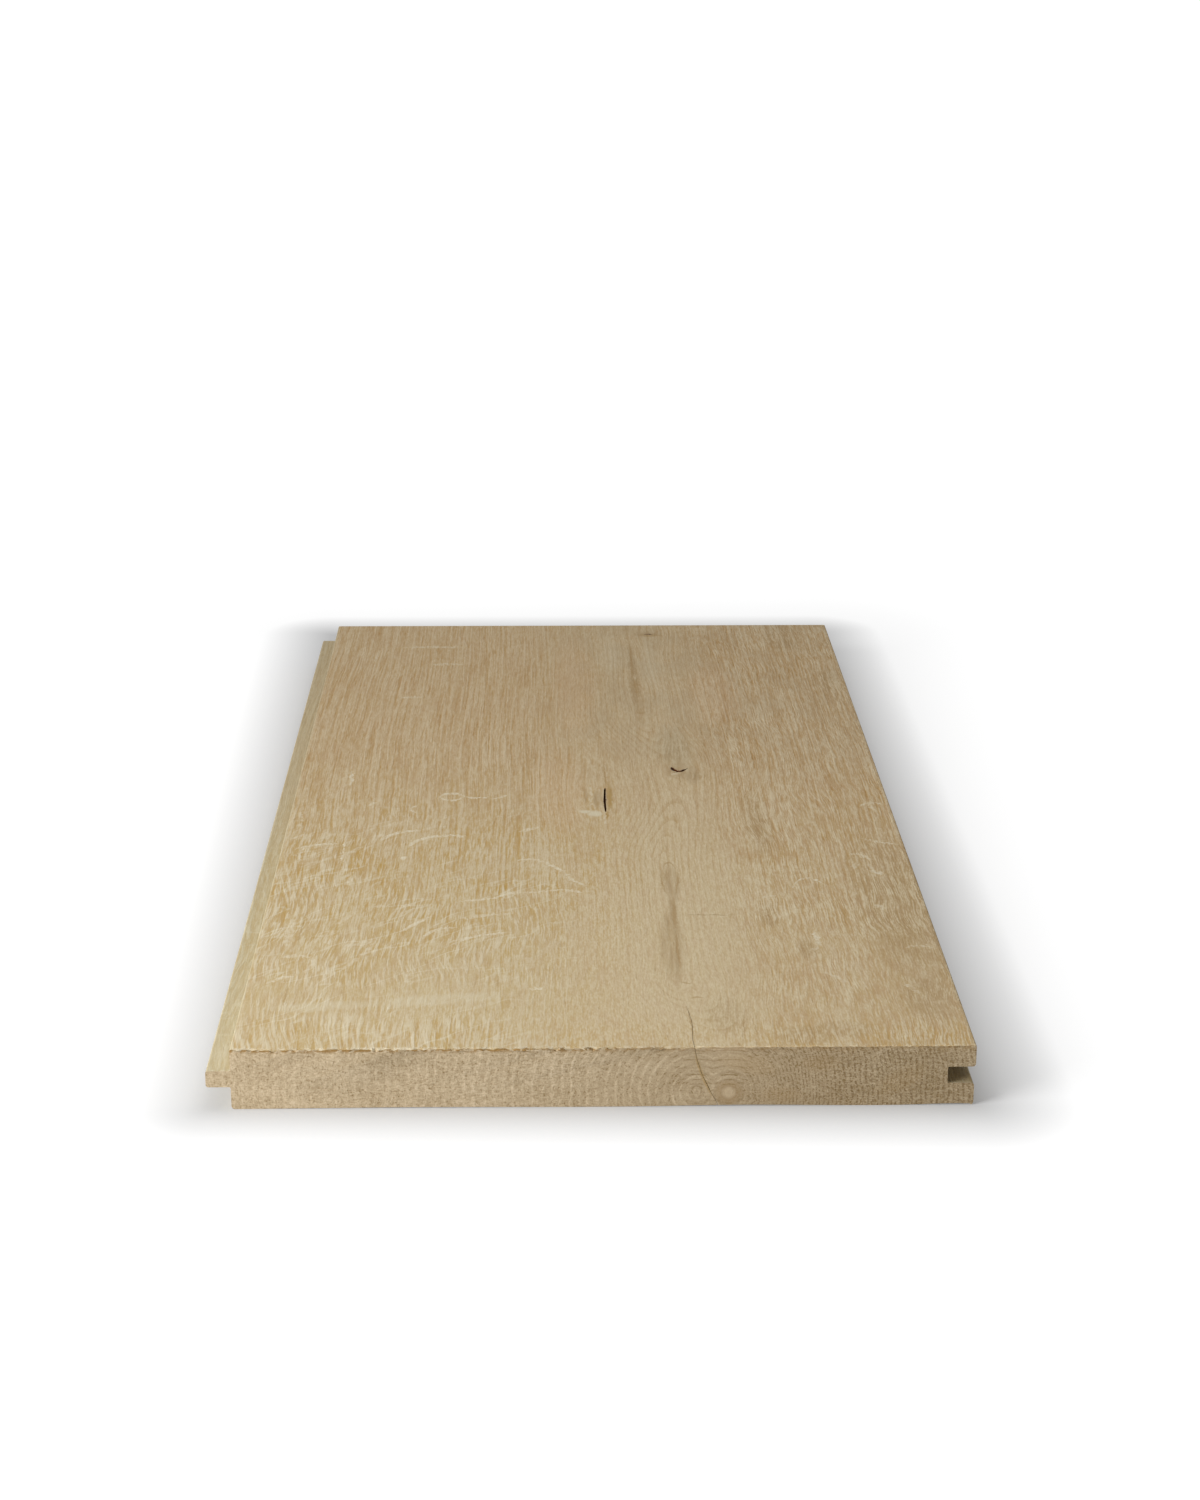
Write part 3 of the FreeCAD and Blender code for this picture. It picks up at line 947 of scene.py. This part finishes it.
def sawn_end(colours):
    """Sawn end grain: arcs round two piths, pale by the tongue, dark with rows of pores by the groove,
    where the darkening is partly painted shade.
    """
    material = new_material("sawn_oak_end")
    tree = material.node_tree
    place = wood_place(tree)
    x = add(tree, "SeparateXYZ", place, out="X")
    y = add(tree, "SeparateXYZ", place, out="Y")
    z = add(tree, "SeparateXYZ", place, out="Z")
    flat = add(tree, "CombineXYZ", x, z, y)

    # Distance from the nearer of the two piths, a little uneven, counted in growth rings, which are wider
    # further out and closer on the groove side
    wobble = blotches(tree, flat, (14, 14, 60), 1, 3)
    wobble = add(tree, "Math", wobble, 4, -2, operation="MULTIPLY_ADD")
    radius = None
    for pith_x, pith_z in PITHS:
        out = add(tree, "VectorMath", flat, (pith_x, pith_z, 0), operation="SUBTRACT")
        out = add(tree, "VectorMath", out, (1, 1, 0), operation="MULTIPLY")
        out = add(tree, "VectorMath", out, operation="LENGTH", out="Value")
        radius = out if radius is None else add(tree, "Math", radius, out, operation="MINIMUM")
    uneven = add(tree, "MapRange", radius, 4, 30, 0, 1)
    radius = add(tree, "Math", wobble, uneven, radius, operation="MULTIPLY_ADD")
    tighter = add(tree, "MapRange", x, 45, 70, 1, 2)
    rings = zone(tree, radius, tighter, 1 / END_RING_WIDTH)
    rings = zone(tree, add(tree, "Math", rings, 0.9, operation="POWER"), 1.2)
    ring = add(tree, "Math", rings, operation="FRACT")
    year = add(tree, "Math", rings, operation="FLOOR")
    growth = add(tree, "TexWhiteNoise", noise_dimensions="1D", named={"W": year})

    # Zones: clear pale arcs by the pith, rows of dark pores on the groove side
    groove_side = zone(tree, (x, 15, 75, 0, 1))
    by_pith = zone(tree, (x, -30, 20, 0, 1))
    unporous = add(tree, "Math", groove_side, -0.8, 1, operation="MULTIPLY_ADD")

    # Rays cross the rings in short dashes, torn fibre follows the rings, and slow clouds
    rayed = add(tree, "CombineXYZ", radius, z, y)
    dash = blotches(tree, rayed, (1.4, 0.45, 6), 2, 2)
    fibre = blotches(tree, rayed, (0.55, 1.7, 6), 2, 5)
    fuzz = blotches(tree, flat, (0.55, 0.5, 6), 2, 11)
    pit = blotches(tree, rayed, (0.6, 0.9, 6), 1, 11, edge=(0.56, 0.72))
    cloud = blotches(tree, flat, (16, 9, 60), 2, 7)

    # Late wood in pale broken arcs, some years more than others, and rows of vessels in the early wood
    late = add(tree, "Math", add(tree, "Math", ring, 0.5, operation="SUBTRACT"), operation="ABSOLUTE")
    broken = blotches(tree, flat, (0.8, 1.6, 6), 1, 13, edge=(0.3, 0.52))
    late = zone(tree, (late, 0.05, 0.25, 1, 0), broken, add(tree, "MapRange", growth, 0, 1, 0.4, 1))
    late_strength = zone(tree, (x, -100, -20, 0.55, 1), unporous, 0.27)
    vessel = blotches(tree, rayed, (0.9, 0.6, 6), 1, 9, edge=(0.44, 0.54))
    vessel = zone(tree, vessel, (ring, 0.3, 0.55, 1, 0), groove_side, 0.58)

    off_pith = add(tree, "MapRange", radius, 12, 45, 0.25, 1)
    layers = (
        (dash, 0.5, off_pith),
        (fibre, 0.5, zone(tree, off_pith, 0.75)),
        (fuzz, 0.5, 0.75),
        (pit, 0.15, -0.35),
        (cloud, 0.5, 0.45),
        (late, 0.1, late_strength),
        # Darker towards the groove side: partly the wood's own tone, partly painted shade for the lamp at
        # the left
        (by_pith, 0, -0.12),
        (groove_side, 0, -0.1),
    )
    tone = layered(tree, 0.55, layers)
    colour = coated(tree, colours.end_deep, (tone, colours.end_pale), (vessel, colours.vessel))
    spots = (
        (END_MARKS, 0.18, colours.streak),
        (PITH_RING, 0.5, colours.pore),
        (PITH_SPOT, 0.5, colours.end_pale),
        (SPLIT_RIM, 0.5, colours.resin),
    )
    for marks, strength, stain in spots:
        amount = zone(tree, marked(tree, x, z, marks), strength)
        colour = coated(tree, colour, (amount, stain))

    # Torn fibre under the edge of the face, most on the tongue side, with the painted shade that it casts
    # there
    high = add(tree, "MapRange", z, 18.8, 20, 0, 1)
    ragged_side = add(tree, "MapRange", x, -20, 40, 0.9, 0.3)
    torn = blotches(tree, flat, (2.2, 1.2, 6), 2, 9, edge=(0.42, 0.55))
    # Torn fibre and painted shade: brown specks just under the lip
    colour = coated(tree, colour, (zone(tree, torn, high, ragged_side), colours.splinter))

    bump = add(tree, "Bump", named={"Strength": 0.35, "Distance": 0.2 * MM, "Height": tone})
    finish = {"Base Color": colour, "Roughness": 0.85, "Specular IOR Level": 0.2, "Normal": bump}
    add(tree, "OutputMaterial", add(tree, "BsdfPrincipled", named=finish))
    return material


def knot_wall(colours):
    """Dark torn wood inside the open knots: matt, streaked along the grain, and painted lighter and browner
    further down, as painted light in the deep shade of the knots.
    """
    material = new_material("dark_knot_wood")
    tree = material.node_tree
    place = wood_place(tree)
    streaks = blotches(tree, place, (0.5, 6, 0.5), 1, 1)
    # Painted light: more of the bark colour further down the walls, where little real light reaches
    light = add(tree, "MapRange", add(tree, "SeparateXYZ", place, out="Z"), 17.5, 20, 1.9, 0.6)
    colour = coated(tree, colours.knot, (zone(tree, light, streaks), colours.bark))
    finish = {"Base Color": colour, "Roughness": 1, "Specular IOR Level": 0}
    add(tree, "OutputMaterial", add(tree, "BsdfPrincipled", named=finish))
    return material


class FLOORBOARD_OT_board(bpy.types.Operator):
    """Models the board and gives it its wood"""

    bl_idname = "floorboard.board"
    bl_label = "Floorboard"

    def execute(self, context):
        sizes = context.scene.board_sizes
        colours = context.scene.oak_colours
        bpy.ops.object.select_all(action="DESELECT")
        draw_section(sizes)
        draw_length(sizes)
        round_end_edges(sizes)
        board = context.edit_object
        board.name = "oak_floorboard"
        board.data.materials.append(planed_oak(colours))
        board.data.materials.append(sawn_end(colours))
        half = sizes.length / 2
        select_parts("faces", lambda p: abs(p.y) > half - 0.5 * END_ROWS[1] * sizes.end_arris)
        board.active_material_index = 1
        bpy.ops.object.material_slot_assign()
        tear_near_edge(sizes)
        wave_underside(sizes)
        bpy.ops.object.mode_set(mode="OBJECT")
        dark = knot_wall(colours)
        cut_gap(board, sizes, SPLIT_STATIONS, False, SPLIT_WAY_DOWN, board.data.materials[0])
        cut_gap(board, sizes, SLOT_STATIONS, False, SLOT_WAY_DOWN, dark)
        cut_gap(board, sizes, CURL_STATIONS, True, CURL_WAY_DOWN, dark)
        board.select_set(True)
        bpy.ops.object.shade_smooth_by_angle(angle=math.radians(30))
        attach(board, "root")
        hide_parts("floorboard")
        return {"FINISHED"}


# Lamps of the studio in metres: place, the point each faces and the side of its square
Lamp = namedtuple("Lamp", "name place target size")
KEY_LAMP = Lamp("key_lamp", (-0.75, -0.65, 0.42), (0, -0.1, 0.02), 0.5)
TOP_LAMP = Lamp("top_lamp", (0, 0.1, 1.6), (0, 0, 0), 1.6)

# Camera in metres, and its pitch down, yaw to the right and roll in degrees
CAMERA_PLACE = (-0.01858, -1.0548, 0.38774)
CAMERA_ANGLES = (18.301, 1.2106, -0.1641)
SENSOR_WIDTH = 36

# Floor in metres: its side, how far it lies under the board, and how far behind the board its painted
# shadow reaches, laid over the real shadow there
FLOOR_SIDE = 40
FLOOR_DROP = 0.02 * MM
SHADOW_BEHIND = 58 * MM

# Linear colour of the floor for the light that it throws back, and where it is seen and glows as well
FLOOR_COLOUR = (0.8, 0.8, 0.8)
FLOOR_SEEN = (0.45, 0.45, 0.45)


def add_lamp(lamp, power):
    """Adds a soft square lamp."""
    bpy.ops.object.light_add(type="AREA", location=lamp.place)
    light = bpy.context.object
    light.name = lamp.name
    light.data.size = lamp.size
    light.data.energy = power
    facing = Vector(lamp.target) - Vector(lamp.place)
    light.rotation_euler = facing.to_track_quat("-Z", "Y").to_euler()


def seen_directly(tree):
    """1 for rays that show the studio itself: from the camera, in gloss or through glass."""
    camera = add(tree, "LightPath", out="Is Camera Ray")
    glossy = camera.node.outputs["Is Glossy Ray"]
    through = camera.node.outputs["Is Transmission Ray"]
    either = add(tree, "Math", camera, glossy, operation="MAXIMUM")
    return add(tree, "Math", either, through, operation="MAXIMUM")


def white_floor():
    """Matt white floor that keeps the real contact shadow, deepened by a painted shadow where its glow is
    low near the board, and turns to plain white away from the board.
    """
    material = new_material("white_floor")
    tree = material.node_tree
    place = add(tree, "TexCoord", out="Object")
    shaded = HIGH + Vector((0, SHADOW_BEHIND, 0))
    away = add(tree, "VectorMath", place, (LOW + shaded) / 2, operation="SUBTRACT")
    away = add(tree, "VectorMath", away, operation="ABSOLUTE")
    away = add(tree, "VectorMath", away, (shaded - LOW) / 2, operation="SUBTRACT")
    away = add(tree, "VectorMath", away, (0, 0, 0), operation="MAXIMUM")
    reach = add(tree, "VectorMath", away, operation="LENGTH", out="Value")
    # Painted shadow: the glow is low beside the board and behind it, and rises to plain white further off
    glow_over_painted_shadow = add(tree, "MapRange", reach, 0, 0.035, 0.17, 0.62)
    beyond = add(tree, "MapRange", reach, 0, 0.35, 0, 0.5)
    glow_over_painted_shadow = add(tree, "Math", glow_over_painted_shadow, beyond, operation="ADD")
    seen = seen_directly(tree)
    matt = add(tree, "BsdfDiffuse", coated(tree, FLOOR_COLOUR, (seen, FLOOR_SEEN)))
    light = add(tree, "Emission", (1, 1, 1, 1), zone(tree, glow_over_painted_shadow, seen))
    add(tree, "OutputMaterial", add(tree, "AddShader", matt, light))
    return material


class FLOORBOARD_OT_stage(bpy.types.Operator):
    """Adds the floor, the lamps and the camera"""

    bl_idname = "floorboard.stage"
    bl_label = "Studio"

    def execute(self, context):
        settings = context.scene.stage_settings
        bpy.ops.object.select_all(action="DESELECT")
        bpy.ops.mesh.primitive_plane_add(size=FLOOR_SIDE, location=(0, 0, -FLOOR_DROP))
        floor = context.object
        floor.name = "floor"
        bpy.ops.object.transform_apply()
        floor.data.materials.append(white_floor())

        add_lamp(KEY_LAMP, settings.key_power)
        add_lamp(TOP_LAMP, settings.top_power)

        world = bpy.data.worlds.new("studio")
        context.scene.world = world
        world.use_nodes = True
        tree = world.node_tree
        strength = add(tree, "MapRange", seen_directly(tree), 0, 1, settings.ambient, 1)
        tree.links.new(strength, tree.nodes["Background"].inputs["Strength"])
        tree.nodes["Background"].inputs["Color"].default_value = (1, 1, 1, 1)

        bpy.ops.object.camera_add(location=CAMERA_PLACE)
        camera = context.object
        camera.name = "camera"
        pitch, yaw, roll = (math.radians(angle) for angle in CAMERA_ANGLES)
        level_ahead = Vector((math.sin(yaw), math.cos(yaw), 0))
        forward = level_ahead * math.cos(pitch) - Vector((0, 0, math.sin(pitch)))
        right = Vector((math.cos(yaw), -math.sin(yaw), 0))
        down = forward.cross(right)
        rolled_right = right * math.cos(roll) + down * math.sin(roll)
        rolled_down = down * math.cos(roll) - right * math.sin(roll)
        axes = Matrix((rolled_right, -rolled_down, -forward)).transposed()
        camera.rotation_euler = axes.to_euler()
        camera.data.lens = settings.lens
        camera.data.sensor_width = SENSOR_WIDTH
        camera.data.clip_start = 0.05
        context.scene.camera = camera
        context.scene.view_settings.view_transform = "Standard"
        return {"FINISHED"}


class FLOORBOARD_PT_sidebar(bpy.types.Panel):
    """Sizes, colours and buttons of the floorboard"""

    bl_idname = "FLOORBOARD_PT_sidebar"
    bl_label = "Floorboard"
    bl_space_type = "VIEW_3D"
    bl_region_type = "UI"
    bl_category = "Floorboard"

    def draw(self, context):
        scene = context.scene
        for group in (scene.board_sizes, scene.oak_colours, scene.stage_settings):
            for name in group.__annotations__:
                self.layout.prop(group, name)
        for operator in (FLOORBOARD_OT_board, FLOORBOARD_OT_stage):
            self.layout.operator(operator.bl_idname)


CLASSES = (
    BoardSizes, OakColours, StageSettings, FLOORBOARD_OT_board, FLOORBOARD_OT_stage, FLOORBOARD_PT_sidebar,
)
GROUPS = {"board_sizes": BoardSizes, "oak_colours": OakColours, "stage_settings": StageSettings}


def register():
    for item in CLASSES:
        bpy.utils.register_class(item)
    for name, group in GROUPS.items():
        setattr(bpy.types.Scene, name, bpy.props.PointerProperty(type=group))


def unregister():
    for name in GROUPS:
        delattr(bpy.types.Scene, name)
    for item in reversed(CLASSES):
        bpy.utils.unregister_class(item)


def main():
    register()
    bpy.ops.floorboard.board()
    bpy.ops.floorboard.stage()


if __name__ == "__main__":
    main()
